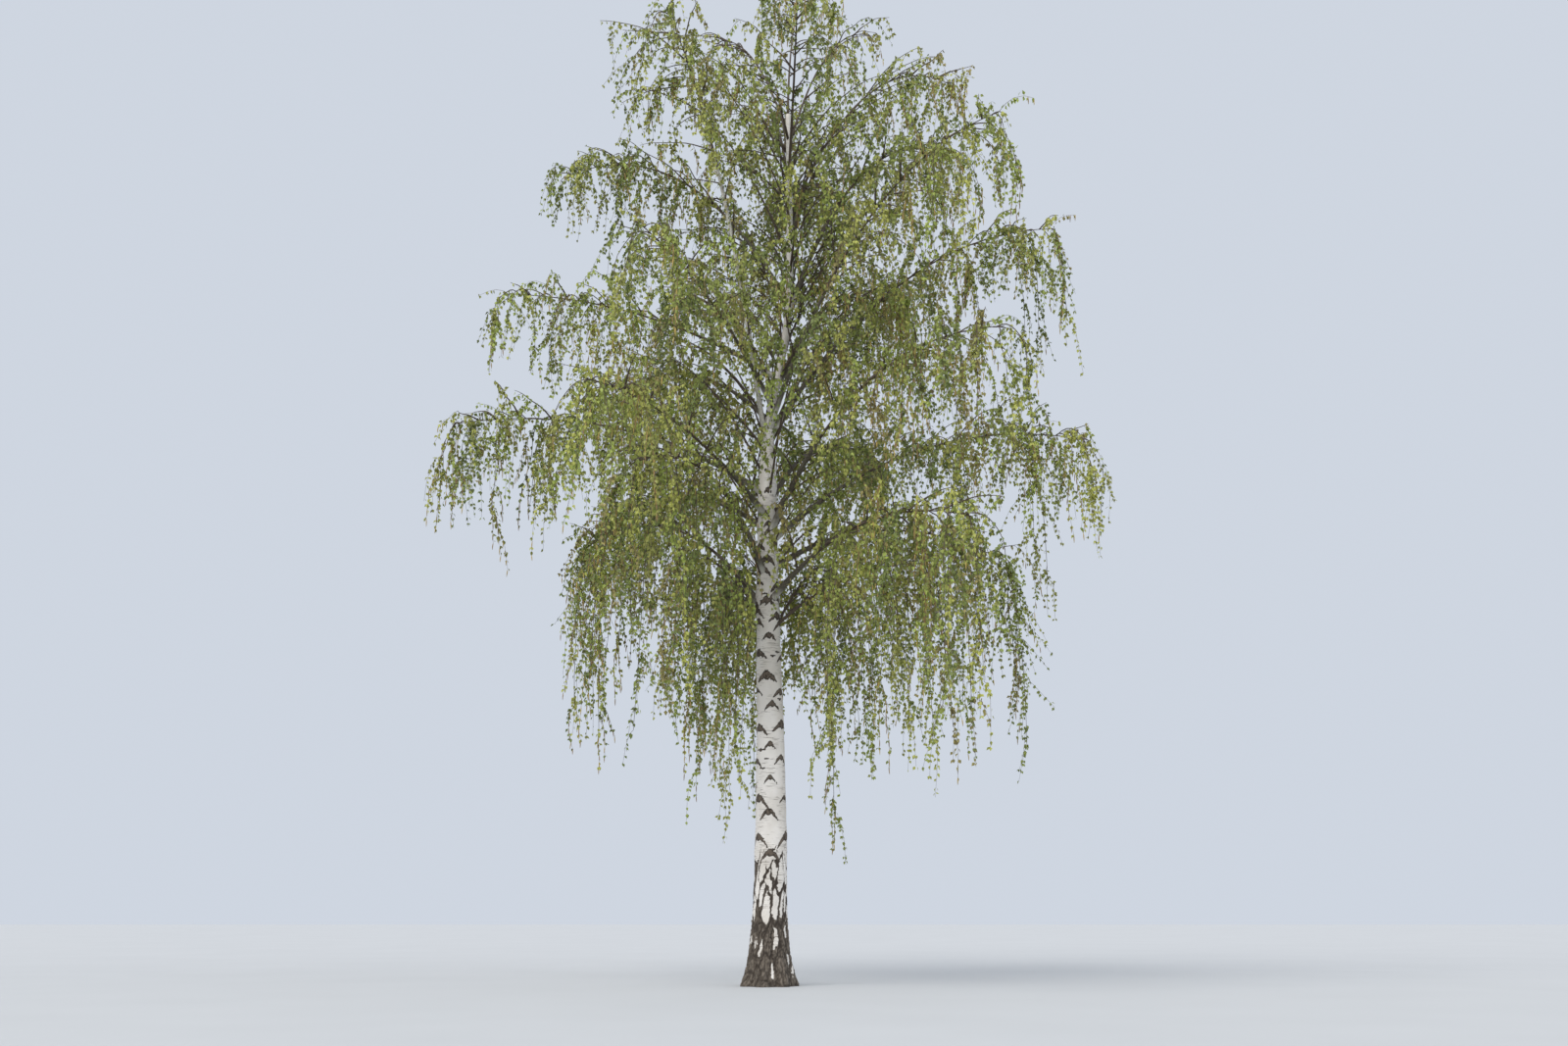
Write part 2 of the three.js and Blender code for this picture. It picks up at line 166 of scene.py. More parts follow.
def smooth_step(share):
    s = np.clip(share, 0, 1)
    return s * s * (3 - 2 * s)


def outwards(bearing):
    return np.array([math.cos(bearing), math.sin(bearing), 0.0])


def unit(vectors):
    return vectors / np.maximum(np.linalg.norm(vectors, axis=-1, keepdims=True), 1e-9)


def trunk_centre(height):
    height = np.asarray(height, dtype=float)
    swing = SWING * smooth_step((height - SWING_START) / (SWING_END - SWING_START))
    wave = WAVE * np.minimum(1, height / WAVE_LENGTH)
    x = swing + wave * np.sin(height / WAVE_LENGTH)
    y = wave * np.sin(height / WAVE_LENGTH + 2)
    return np.stack([x, y, height], axis=-1)


def trunk_radius(height):
    below = TRUNK_RADIUS * (1 - height / TAPER_HEIGHT) ** TAPER_POWER
    below = below + FLARE * np.exp(-height / FLARE_HEIGHT)
    above = between(LEADER_RADIUS, LEADER_TIP_RADIUS, (height - FORK_START) / (TRUNK_TOP - FORK_START))
    return between(below, above, smooth_step((height - FORK_START) / (FORK_END - FORK_START)))


def curve_points(curve, shares):
    """Points of a quadratic curve, given as its three control points."""
    t = np.asarray(shares, dtype=float)[..., None]
    return (1 - t) ** 2 * curve[0] + 2 * t * (1 - t) * curve[1] + t * t * curve[2]


def curve_heading(curve, share):
    return unit((1 - share) * (curve[1] - curve[0]) + share * (curve[2] - curve[1]))


def path_length(points):
    return np.linalg.norm(np.diff(points, axis=0), axis=1).sum()


def curve_length(curve):
    return path_length(curve_points(curve, np.linspace(0, 1, 201)))


def point_in_tube(curve, first, rings, share):
    """A point in the middle of a solid's tube, which is straight from ring to ring."""
    ring = min(rings - 1, math.floor(share * rings))
    ends = curve_points(curve, [between(first, 1, r / rings) for r in (ring, ring + 1)])
    return between(ends[0], ends[1], share * rings - ring)


def storey_line(storey, index, inner):
    """One limb line of a storey, from the trunk to the crown's edge."""
    draw = seeded_draws(SEED + index * 31 + storey["attach"][0] + (7 if inner else 0))
    golden = (index * GOLDEN_SHARE) % 1
    place = storey["bearing"] + 360 * (index + (0.5 if inner else 0)) / storey["lines"]
    bearing = math.radians(place + between(-LINE_TURN, LINE_TURN, draw()))
    bend = math.radians(between(-LINE_BEND, LINE_BEND, draw()))
    right = math.cos(bearing)
    reach = storey["reach"] * (1 + storey["wider"] * right) * between(*LINE_REACH, draw())
    reach *= storey["inner_reach"] if inner else 1
    if inner:
        height = storey["attach"][0] - between(*INNER_BELOW, golden)
    else:
        height = between(*storey["attach"], golden)
    lift = storey["leaning"] * right
    lift += storey["uneven"] * abs(math.sin(bearing)) * (1 if index % 2 else -1)
    crest = storey["crest"] + lift
    tip = storey["tip"] + lift
    base = trunk_centre(height)
    middle = base + outwards(bearing) * reach * CREST_SHARE
    middle[2] = between(height, crest, INNER_CREST) if inner else crest
    end = base + outwards(bearing + bend) * reach
    end[2] = between(height, tip, INNER_TIP) if inner else tip
    return dict(
        storey,
        name=f"{storey['name']}_{'inner_' if inner else ''}{index + 1}",
        curve=np.array([base, middle, end]),
        bearing=bearing,
        bare=0 if inner else storey["bare"],
        radius=storey["radius"] * (INNER_RADIUS if inner else 1),
        spread=storey["spread"] * (INNER_SPREAD if inner else 1),
        seed=SEED + index * 101 + storey["attach"][1] + (13 if inner else 0),
    )


def top_line():
    """The leading shoot, which stands on the trunk's tip."""
    base = trunk_centre(TRUNK_TOP)
    end = base + outwards(math.radians(TOP_LINE["bearing"])) * TOP_LINE["reach"]
    end[2] = TOP_LINE["height"]
    middle = np.array([base[0], base[1], between(base[2], end[2], 0.5)])
    return dict(TOP_LINE, curve=np.array([base, middle, end]), bare=0, seed=SEED)


def all_lines():
    """Every limb line, each with the points of its stem that share out the crown."""
    lines = []
    for storey in STOREYS:
        present = [i for i in range(storey["lines"]) if i not in storey.get("missing", ())]
        lines += [storey_line(storey, i, False) for i in present]
        lines += [storey_line(storey, i, True) for i in storey.get("inner", ())]
    lines.append(top_line())
    for line in lines:
        first = max(line["bare"], SPACE_START)
        line["stem"] = curve_points(line["curve"], np.linspace(first, 1, SPACE_POINTS))
    return lines


def limb_samples(lines):
    """Points down the middle of every limb, the radius there, and the line that a stem belongs to."""
    heights = np.arange(0, TRUNK_TOP + 1, LIMB_STEP)
    centres = [trunk_centre(heights)]
    radii = [trunk_radius(heights)]
    owners = [np.full(len(heights), -1)]
    for index, line in enumerate(lines):
        steps = math.ceil(curve_length(line["curve"]) / LIMB_STEP)
        shares = np.arange(steps + 1) / steps
        bough = shares <= line["bare"]
        centres.append(curve_points(line["curve"], shares))
        radii.append(np.where(bough, line["radius"], BOUGH_TIP_RADIUS))
        owners.append(np.where(bough, -1, index))
    return np.concatenate(centres), np.concatenate(radii), np.concatenate(owners)


def fits(points, index, stems, limbs):
    """Whether the points keep to their own mass's space and clear of every other limb."""
    away = points[:, None, None, :] - stems[None]
    weight = np.where(away[..., 2] < 0, HANG_WEIGHT, RISE_WEIGHT)
    squares = away[..., 0] ** 2 + away[..., 1] ** 2 + (weight * away[..., 2]) ** 2
    near = np.sqrt(squares.min(axis=2))
    own = near[:, index] + SPACE_MARGIN
    near[:, index] = np.inf
    if (near.min(axis=1) <= own).any():
        return False
    centres, radii, owners = limbs
    other = owners != index
    gaps = np.linalg.norm(points[:, None] - centres[None, other], axis=2)
    return bool((gaps > radii[other] + LIMB_CLEARANCE).all())


def twig_plans(line, seed, count, least):
    """Where a stem's twigs go. Finer ones have a seed of their own and a size from least to 1."""
    draw = seeded_draws(seed)
    first = FIRST_TWIG_ON_BOUGH if line["bare"] > 0 else FIRST_TWIG_ON_TRUNK
    plans = []
    for i in range(count):
        last = i == count - 1
        along = 1 if last else (i + 0.5 + between(-0.2, 0.2, draw())) / (count - 1)
        share = between(first, LAST_TWIG, along)
        spot = between(line["bare"], 1, share)
        sideways = (-1 if i % 2 else 1) * (0.15 if last else 1)
        width = line["spread"] * between(*TWIG_WIDTH, draw()) * (1 - TWIG_NARROWING * along)
        width *= 0.5 if last else 1
        drop = between(*TWIG_DROP, draw())
        rise = TWIG_RISE * (1 + draw())
        ahead = unit(curve_heading(line["curve"], spot) * (1, 1, 0))
        across = np.array([-ahead[1], ahead[0], 0])
        way = unit(ahead * (1 if last else TWIG_FORWARD) + across * sideways)
        blades = []
        for k in range(MOST_BLADES):
            lean = between(*(TIP_LEAN if k == 0 else SIDE_LEAN), draw())
            turn = draw() * 2 * math.pi
            roll = between(-1, 1, draw())
            blades.append((lean, turn, roll, line["blade"] * between(*BLADE_LENGTH, draw())))
        shorter = 1
        if least < 1:
            width *= between(least, 1, draw())
            shorter = between(least, 1, draw())
        root = point_in_tube(line["curve"], line["bare"], STEM_RINGS, share)
        tip = root + way * width
        hang = line["hang"] * drop * bunching(tip[0], tip[1]) - line["blade"]
        plans.append(dict(
            root=root, seat=curve_points(line["curve"], spot), way=way, width=width,
            hang=shorter * max(LEAST_HANG, hang), rise=rise, blades=blades,
        ))
    return plans


def bunching(x, y):
    """Twigs hang in bunches: how far down one reaches depends on where it hangs."""
    bent = x / BUNCH_WIDTH + BUNCH_PHASE + BUNCH_BEND * math.sin(y / (2 * BUNCH_DEPTH))
    wave = 0.7 * math.sin(bent) + 0.3 * math.sin(y / BUNCH_DEPTH)
    return between(BUNCH_LEAST, 1, 0.5 + 0.5 * wave)


def twig_curve(plan, size):
    """A twig arches out over its shoulder and then hangs."""
    out = plan["way"] * plan["width"]
    shoulder = plan["root"] + out * TWIG_SHOULDER * size + UP * plan["width"] * plan["rise"] * size
    tip = plan["root"] + out * size - UP * plan["hang"] * size
    return np.array([plan["root"], shoulder, tip])


def blades_on(path, plan, inside):
    """The blades that fit on a twig, from its tip upwards, as root, axis, across and length."""
    placed = []
    share = TIP_SHARE
    for lean, turn, roll, full in plan["blades"]:
        if share < FIRST_SHARE:
            break
        root = point_in_tube(path, 0, TWIG_RINGS, share)
        axis = unit(outwards(turn) * lean + (0, 0, -1))
        across = outwards(turn + math.pi / 2 + roll)
        for size in BLADE_SIZES:
            length = full * size
            half = length * BLADE_WIDTH_SHARE * 0.5
            middle = root + axis * length * BLADE_WIDEST
            probes = np.concatenate([
                root + axis * length * np.linspace(0, 1, BLADE_PROBES)[:, None],
                [middle + across * half, middle - across * half],
            ])
            if inside(probes):
                placed.append((share, root, axis, across, length))
                break
        share -= full * BLADE_STEP / curve_length(path)
    return placed


# Finer growth, which the solids leave out. Lengths in millimetres.
FINER_SEED = 7000
FINER_TWIGS = 2.3
LEAST_TWIG = 0.35
TWIG_POINTS = 11
SHOOT_POINTS = 5
STEM_POINTS = 25
SPRAY_SHOOTS = 3
SPRAY_STEP = 0.09
SPRAY_SPREAD = 1.1
SPRAY_LENGTH = (0.7, 1.02)
FILL_STEP = 250
FILL_SHARES = (0.12, 0.97)
FILL_LENGTH = (0.35, 0.8)
RISER_STEP = 230
RISER_START = 0.25
RISER_LENGTH = (0.3, 0.6)
RISER_SWAY = 8
SIDE_STEP = 210
SIDE_ROOT_POINTS = 3
SIDE_SHARES = (0.1, 0.95)
SIDE_LENGTH = (500, 1150)
SIDE_RISE = (0.2, 0.9)
SIDE_SHOOT_STEP = 120
SIDE_HANG = 1.25
GOLDEN_TURN = 2.4
LIMB_ROOT = 0.6
TRUNK_LIMB_HANG = 560
# Thin limbs that leave the trunk, and thinner ones in the crown. They turn by the golden turn over
# each turn_height, and none heads further towards -Y than front, so that the trunk shows there.
TRUNK_LIMBS = (
    dict(heights=np.arange(4300, TRUNK_TOP - 100, 120), span=(4300, TRUNK_TOP), turn_height=120,
         jitter=0.4, front=-1, length=(900, 2300), shorter=0.6, rise=(0.6, 1.25), radius=15),
    dict(heights=np.linspace(6200, 9250, 48), span=(6200, 9250), turn_height=1,
         jitter=0.3, front=-0.45, length=(1000, 1950), shorter=0.85, rise=(0.75, 1.3), radius=11),
)
TRUNK_CLEARANCE = 150
# A shoot is left out where the cells of space that it passes hold more shoots than CROWD_MOST on
# average, near the trunk and at the crown's edge. Towards the top that falls to THIN_SHARE of it.
CROWD_CELL = 270
CROWD_MOST = (2.8, 6)
CROWD_REACH = (700, 2900)
THIN_FROM = 10000
THIN_TO = 10900
THIN_SHARE = 0.22
SIDE_BASE_RADIUS = 11
TWIG_BASE_RADIUS = 7.5
SHOOT_BASE_RADIUS = 2.5
# How each kind of tube tapers: the radius at its end, the power of the taper, and its sides.
TAPERS = {"stem": (3.5, 0.8, 8), "twig": (2.4, 0.7, 4), "shoot": (1.3, 1, 3)}
SHOOT_SWAY = 16
TWIG_SWAY = 34
# Where leaves stand: the step between spots, and the first share of the path, which stays bare.
LEAF_SPOTS = (("shoot", 45, 0.1), ("twig", 72, 0.25))
LEAVES_AT_SPOT = (1, 2, 3)
SPOT_SHARES = (0.2, 0.35, 0.45)
LEAF_LENGTH = (42, 62)
LEAF_SHORTENING = 0.22
LEAF_WIDTH = 0.72
LEAF_WIDEST = 0.38
LEAF_FOLD = 0.08
PETIOLE = (7, 18)
CATKIN_LENGTH = (60, 95)
CATKIN_RADIUS = 6
CATKIN_PROFILE = (0.4, 1, 0.9, 0.25)
CATKIN_SIDES = 3
# A few sprays bear catkins on most of their shoots, and the rest on few.
CATKIN_SPRAY_SHARE = 0.18
MANY_CATKINS = 0.85
FEW_CATKINS = 0.1
RISER_CATKINS = 0.05
MANY_SPOTS = (1, 0.9, 0.79, 0.68, 0.56, 0.44, 0.3)
FEW_SPOTS = (1, 0.85)
GREENS = 6
GREEN_SHARES = (0.26, 0.2, 0.17, 0.15, 0.14, 0.08)
SAME_GREEN = 0.62

chance = np.random.default_rng(SEED)


def sway(curve, count, most):
    """A curve as points, bent sideways in two slow waves that start from nothing at its root."""
    share = np.linspace(0, 1, count)[:, None]
    moved = curve_points(curve, share[:, 0])
    for waves in (0.8, 1.9):
        phase = chance.uniform(0, 2 * math.pi, (1, 2))
        size = chance.uniform(0.3, 1, (1, 2)) * most / (waves + 0.4)
        wave = np.sin(phase + share * waves * 2 * math.pi) - np.sin(phase)
        moved[:, :2] += size * wave * np.minimum(1, share * 2)
    return moved


def shoot(start, across, axis, length):
    """A fine shoot that leaves its twig sideways and then hangs along the axis."""
    out = across * chance.uniform(0.1, 0.24) * length
    middle = start + out * 1.1 + np.array([0, 0, chance.uniform(-0.12, 0.08)]) * length
    end = start + out + axis * length
    return sway([start, middle, end], SHOOT_POINTS, SHOOT_SWAY)


def side_limb(start, way, length, rise):
    """A limb finer than the solids': it climbs away from its bough and nods at its end."""
    middle = start + way * 0.5 * length + UP * rise * length
    end = start + way * length + UP * rise * chance.uniform(0.5, 1.05) * length
    return sway([start, middle, end], TWIG_POINTS, TWIG_SWAY)


def riser(start, way, length):
    """A fine shoot that arches up and out from a stem and nods at its end."""
    middle = start + way * 0.45 * length + UP * chance.uniform(0.35, 0.7) * length
    end = start + way * length + UP * chance.uniform(-0.15, 0.45) * length
    return sway([start, middle, end], SHOOT_POINTS, RISER_SWAY)


def draw_green():
    return chance.choice(GREENS, p=GREEN_SHARES)


def green_of(usual):
    """Most shoots of a spray share its green."""
    return usual if chance.random() < SAME_GREEN else draw_green()


def grow(lines):
    """Stems, twigs and shoots as arrays of points, with their radii, greens and catkin shares."""
    stems = np.array([line["stem"] for line in lines])
    limbs = limb_samples(lines)
    centres, limb_radii, _ = limbs
    made = defaultdict(list)
    crowd = Counter()

    def add(kind, points, radius, green):
        made[kind].append(points)
        made[f"{kind}_radius"].append(radius)
        made[f"{kind}_green"].append(green)

    def add_shoot(points, green, catkins):
        """Adds a shoot where the crown isn't dense yet and the trunk isn't close."""
        away = np.hypot(*(points - trunk_centre(points[:, 2]))[:, :2].T)
        if (away[1:] < trunk_radius(np.minimum(points[1:, 2], TRUNK_TOP)) + TRUNK_CLEARANCE).any():
            return
        cells = {tuple(cell) for cell in np.floor(points / CROWD_CELL).astype(int)}
        outer = smooth_step((away[-1] - CROWD_REACH[0]) / (CROWD_REACH[1] - CROWD_REACH[0]))
        thin = smooth_step((points[0, 2] - THIN_FROM) / (THIN_TO - THIN_FROM))
        most = between(*CROWD_MOST, outer) * between(1, THIN_SHARE, thin) * len(cells)
        if sum(crowd[cell] for cell in cells) > most:
            return
        crowd.update(cells)
        add("shoot", points, SHOOT_BASE_RADIUS, green_of(green))
        made["catkins"].append(catkins)

    def hanging_shoot(start, green, catkins, length):
        way = outwards(chance.uniform(0, 2 * math.pi))
        axis = unit(way * chance.uniform(0.1, 0.6) + (0, 0, -1))
        add_shoot(shoot(start, way, axis, length), green, catkins)

    def catkin_share():
        return MANY_CATKINS if chance.random() < CATKIN_SPRAY_SHARE else FEW_CATKINS

    def add_side(start, way, length, rise, radius, hang):
        """Adds a finer limb with its hanging shoots, unless it would touch another limb."""
        green = draw_green()
        points = side_limb(start, way, length, rise)
        gaps = np.linalg.norm(points[SIDE_ROOT_POINTS:, None] - centres[None], axis=2)
        if (gaps < limb_radii + LIMB_CLEARANCE).any():
            return
        add("twig", points, radius, green)
        catkins = catkin_share()
        for spot in np.arange(0.15, 1.0, SIDE_SHOOT_STEP / length):
            hanging_shoot(on_path(points, spot), green, catkins, hang * chance.uniform(0.4, 1))

    def add_twigs(index, line):
        """Adds a stem's twigs and finer twigs, with the shoots of each spray."""
        def inside(points):
            return fits(points, index, stems, limbs)

        plans = twig_plans(line, line["seed"], line["twigs"], 1)
        finer = round(line["twigs"] * FINER_TWIGS)
        plans += twig_plans(line, line["seed"] + FINER_SEED, finer, LEAST_TWIG)
        for plan in plans:
            tries = [twig_curve(plan, size) for size in TWIG_SIZES]
            path = next((c for c in tries if inside(curve_points(c, np.linspace(0.15, 1, 15)))), None)
            blades = [] if path is None else blades_on(path, plan, inside)
            if not blades:
                continue
            path[0] = plan["seat"]
            points = sway(path, TWIG_POINTS, TWIG_SWAY)
            green = draw_green()
            catkins = catkin_share()
            add("twig", points, TWIG_BASE_RADIUS, green)
            for share, root, axis, across, length in blades:
                for k in range(SPRAY_SHOOTS):
                    start = on_path(points, min(1, share + SPRAY_STEP * (k - 0.4)))
                    side = (k - (SPRAY_SHOOTS - 1) / 2) * SPRAY_SPREAD + chance.uniform(-0.4, 0.4)
                    reach = length * chance.uniform(*SPRAY_LENGTH)
                    add_shoot(shoot(start, across * side, axis, reach), green, catkins)
            step = FILL_STEP / path_length(points)
            for spot in np.arange(*FILL_SHARES, step):
                start = on_path(points, min(FILL_SHARES[1], spot + chance.uniform(0, 0.5) * step))
                hanging_shoot(start, green, catkins, line["blade"] * chance.uniform(*FILL_LENGTH))

    def add_sides(line):
        """Adds finer limbs to either side of a line in turn."""
        span = curve_length(line["curve"])
        sign = 1
        for share in np.arange(*SIDE_SHARES, SIDE_STEP / span):
            share = min(SIDE_SHARES[1], share + chance.uniform(0, 0.5) * SIDE_STEP / span)
            heading = curve_heading(line["curve"], share)
            ahead = unit(heading * (1, 1, 0))
            across = np.array([-ahead[1], ahead[0], 0]) * sign
            sign = -sign
            way = unit(ahead * chance.uniform(0.3, 1.3) + across)
            shorter = between(1, between(0.35, 0.9, abs(heading[2])), share)
            length = chance.uniform(*SIDE_LENGTH) * shorter * min(1, span / 2600)
            rise = chance.uniform(*SIDE_RISE) * between(1, 0.5, share)
            start = curve_points(line["curve"], share)
            add_side(start, way, length, rise, SIDE_BASE_RADIUS, line["blade"] * SIDE_HANG)

    def add_risers(line):
        """Adds short shoots that rise from a stem."""
        first = max(line["bare"], RISER_START)
        span = curve_length(line["curve"]) * (1 - first)
        for share in np.arange(first, 1, (1 - first) * RISER_STEP / span):
            start = curve_points(line["curve"], min(1, share + chance.uniform(0, 0.04)))
            ahead = unit(curve_heading(line["curve"], share) * (1, 1, 0.2))
            turned = math.atan2(ahead[1], ahead[0]) + chance.uniform(-1.3, 1.3)
            green = draw_green()
            length = line["blade"] * chance.uniform(*RISER_LENGTH)
            add_shoot(riser(start, outwards(turned), length), green, RISER_CATKINS)

    def add_trunk_limbs(heights, span, turn_height, jitter, front, length, shorter, rise, radius):
        """Adds thin limbs that leave the trunk at each of the heights."""
        for height in heights:
            bearing = height / turn_height * GOLDEN_TURN + chance.uniform(-jitter, jitter)
            way = outwards(bearing)
            if way[1] < front:
                continue
            up = (height - span[0]) / (span[1] - span[0])
            reach = chance.uniform(*length) * between(1, shorter, up)
            climb = chance.uniform(*rise)
            start = trunk_centre(height) + way * trunk_radius(height) * LIMB_ROOT
            add_side(start, way, reach, climb, radius, TRUNK_LIMB_HANG)

    for index, line in enumerate(lines):
        shares = np.linspace(max(0, line["bare"] - 0.01), 1, STEM_POINTS)
        made["stem"].append(curve_points(line["curve"], shares))
        made["stem_radius"].append(BOUGH_TIP_RADIUS if line["bare"] > 0 else line["radius"])
        add_twigs(index, line)
        add_risers(line)
    for line in lines:
        add_sides(line)
    for limbs_up in TRUNK_LIMBS:
        add_trunk_limbs(**limbs_up)
    return {key: np.array(value) for key, value in made.items()}


def on_path(points, share):
    """The point at a share of a path that is given as points."""
    spot = share * (len(points) - 1)
    first = min(int(spot), len(points) - 2)
    return between(points[first], points[first + 1], spot - first)


def ring_walls(rings, sides):
    """Two triangles for each side of each stretch from one ring of points to the next."""
    k, j = np.meshgrid(np.arange(rings - 1), np.arange(sides), indexing="ij")
    a = k * sides + j
    b = k * sides + (j + 1) % sides
    return np.stack([a, b, b + sides, a, b + sides, a + sides], axis=-1).reshape(-1, 3)


def tubes(paths, radii, sides):
    """Closed tubes along paths of equally many points, as points and triangles."""
    count, rings = paths.shape[:2]
    ahead = unit(np.gradient(paths, axis=1))
    half = paths[:, rings // 2]
    normal = np.cross(half - paths[:, 0], paths[:, -1] - half)
    flat = np.linalg.norm(normal, axis=1) < 1
    normal[flat] = np.cross(ahead[flat, 0], (0.3, 1, 0.2))
    normal = unit(normal)[:, None]
    side = unit(np.cross(normal, ahead))
    over = np.cross(ahead, side)
    angle = np.arange(sides) * 2 * math.pi / sides
    ring = side[:, :, None] * np.cos(angle)[:, None] + over[:, :, None] * np.sin(angle)[:, None]
    points = paths[:, :, None] + ring * radii[:, :, None, None]
    fan = np.arange(1, sides - 1)
    foot = np.stack([np.zeros_like(fan), fan + 1, fan], axis=-1)
    tip = foot[:, ::-1] + (rings - 1) * sides
    one = np.concatenate([ring_walls(rings, sides), foot, tip])
    faces = one[None] + (np.arange(count) * rings * sides)[:, None, None]
    return points.reshape(-1, 3), faces.reshape(-1, 3)


def leaf_spots(paths, step, first):
    """Spots along paths where leaves stand, as path number, share of the path, point and heading."""
    lengths = np.linalg.norm(np.diff(paths, axis=1), axis=2).sum(axis=1)
    counts = np.maximum(1, (lengths * (1 - first) / step).astype(int))
    owner = np.repeat(np.arange(len(paths)), counts)
    order = np.arange(len(owner)) - np.repeat(np.cumsum(counts) - counts, counts)
    share = first + (1 - first) * (order + chance.uniform(0.2, 1, len(owner))) / counts[owner]
    spot = np.minimum(share, 1) * (paths.shape[1] - 1)
    low = np.minimum(spot.astype(int), paths.shape[1] - 2)
    start = paths[owner, low]
    way = paths[owner, low + 1] - start
    return owner, order, share, start + way * (spot - low)[:, None], unit(way)


def leaf_mesh(point, ahead, order, size):
    """The six points of each leaf, which has a stalk and a folded, pointed blade."""
    count = len(point)
    side = unit(np.cross(ahead, (0.31, 0.95, 0.05)))
    over = np.cross(ahead, side)
    turn = order * GOLDEN_TURN + chance.uniform(-0.7, 0.7, count)
    out = side * np.cos(turn)[:, None] + over * np.sin(turn)[:, None]
    down = np.array([0, 0, -1.0])
    stalk = unit(out + ahead * 0.5 + down * chance.uniform(0.1, 0.8, (count, 1)))
    foot = point + stalk * chance.uniform(*PETIOLE, (count, 1))
    axis = unit(out * chance.uniform(0.1, 0.8, (count, 1)) + down * chance.uniform(0.5, 1.5, (count, 1))
                + chance.normal(0, 0.22, (count, 3)))
    across = unit(np.cross(axis, chance.normal(0, 1, (count, 3)) + out * 0.8))
    face = np.cross(across, axis)
    size = size[:, None]
    half = size * LEAF_WIDTH * 0.5 * chance.uniform(0.85, 1.1, (count, 1))
    widest = foot + axis * size * LEAF_WIDEST + face * size * LEAF_FOLD
    left = widest + across * half
    right = widest - across * half
    tip = foot + axis * size - face * size * chance.uniform(0, 0.12, (count, 1))
    return np.stack([point + across, point - across, foot, left, right, tip], axis=1)


LEAF_TRIANGLES = np.array([[0, 1, 2], [2, 3, 5], [2, 5, 4]])


def catkin_paths(shoots, shares):
    """Hanging paths in strings along the shoots that bear catkins."""
    paths = []
    for points, share in zip(shoots, shares):
        if chance.random() > share:
            continue
        for spot in (FEW_SPOTS if share < MANY_CATKINS else MANY_SPOTS):
            start = on_path(points, spot)
            way = outwards(chance.uniform(0, 2 * math.pi)) * chance.uniform(3, 12)
            length = chance.uniform(*CATKIN_LENGTH)
            t = np.linspace(0, 1, len(CATKIN_PROFILE))[:, None]
            paths.append(start + way * t * (1.6 - 0.6 * t) - np.array([0, 0, length]) * t)
    return np.array(paths)


def add_object(name, data):
    made = bpy.data.objects.new(name, data)
    bpy.context.scene.collection.objects.link(made)
    return made


def mesh_piece(name, points, faces, prefix, material, smooth=True):
    """A piece from points in millimetres and triangles. It replaces the nodes with the prefix."""
    nodes = [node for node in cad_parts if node.startswith(prefix)]
    mesh = bpy.data.meshes.new(name)
    mesh.vertices.add(len(points))
    mesh.vertices.foreach_set("co", (points * 0.001).astype(np.float32).ravel())
    mesh.loops.add(faces.size)
    mesh.loops.foreach_set("vertex_index", faces.astype(np.int32).ravel())
    mesh.polygons.add(len(faces))
    mesh.polygons.foreach_set("loop_start", np.arange(0, faces.size, 3, dtype=np.int32))
    mesh.polygons.foreach_set("use_smooth", np.full(len(faces), smooth))
    mesh.update(calc_edges=True)
    mesh.materials.append(material)
    piece = add_object(name, mesh)
    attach(piece, "root")
    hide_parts(*nodes)
    return piece


def set_marks(piece, marks):
    """Stores three marks between 0 and 1 for each point, for the bark's material."""
    values = np.concatenate([np.clip(marks, 0, 1), np.ones((len(marks), 1))], axis=1)
    layer = piece.data.attributes.new("marks", "FLOAT_COLOR", "POINT")
    layer.data.foreach_set("color", values.astype(np.float32).ravel())


def lattice(cells, seed):
    """A fixed draw between 0 and 1 for each whole-numbered cell, by mixing the bits of its numbers."""
    mixed = np.full(cells.shape[:-1], seed, dtype=np.int64)
    for axis in range(cells.shape[-1]):
        mixed = (mixed * 668265263 + cells[..., axis] * 374761393) & 0xFFFFFFFF
        mixed = ((mixed ^ (mixed >> 13)) * 1274126177) & 0xFFFFFFFF
    return (mixed ^ (mixed >> 16)) / 0xFFFFFFFF


def value_noise(points, seed):
    """Smooth noise from -1 to 1."""
    low = np.floor(points).astype(np.int64)
    part = smooth_step(points - low)
    total = np.zeros(points.shape[:-1])
    for corner in np.ndindex(2, 2, 2):
        weight = np.prod(np.where(corner, part, 1 - part), axis=-1)
        total += weight * lattice(low + corner, seed)
    return total * 2 - 1


def noise(points, scale, seed):
    """Noise from -1 to 1 with features of about the scale, and finer ones on them."""
    scaled = points / scale
    return 0.65 * value_noise(scaled, seed) + 0.35 * value_noise(scaled * 2.1 + 7.3, seed + 1)


def plates(angle, height, columns, tall, seed):
    """Bark plates: how far each point is from a crack, and a draw for the plate that it is on."""
    u = angle / (2 * math.pi) * columns
    v = height / tall
    cell_u = np.floor(u).astype(np.int64)
    cell_v = np.floor(v).astype(np.int64)
    near = np.full(u.shape, 9.0)
    second = near.copy()
    owner = np.zeros(u.shape)
    for du in (-1, 0, 1):
        for dv in (-1, 0, 1):
            cell = np.stack([(cell_u + du) % columns, cell_v + dv], axis=-1)
            x = cell_u + du + 0.1 + 0.8 * lattice(cell, seed) - u
            y = cell_v + dv + 0.1 + 0.8 * lattice(cell, seed + 1) - v
            far = np.hypot(x, y)
            closer = far < near
            second = np.where(closer, near, np.minimum(second, far))
            owner = np.where(closer, lattice(cell, seed + 2), owner)
            near = np.where(closer, far, near)
    return second - near, owner


SCARS_FROM = 1400
SCARS_TO = 5300
SCAR_STEP = (175, 225)
SCAR_SIZE = (0.6, 1.12)
SCAR_THICKNESS = 36
SCAR_TURN = 60
SMALL_MARKS = 26
SMALL_MARK_HEIGHTS = (1300, 8800)


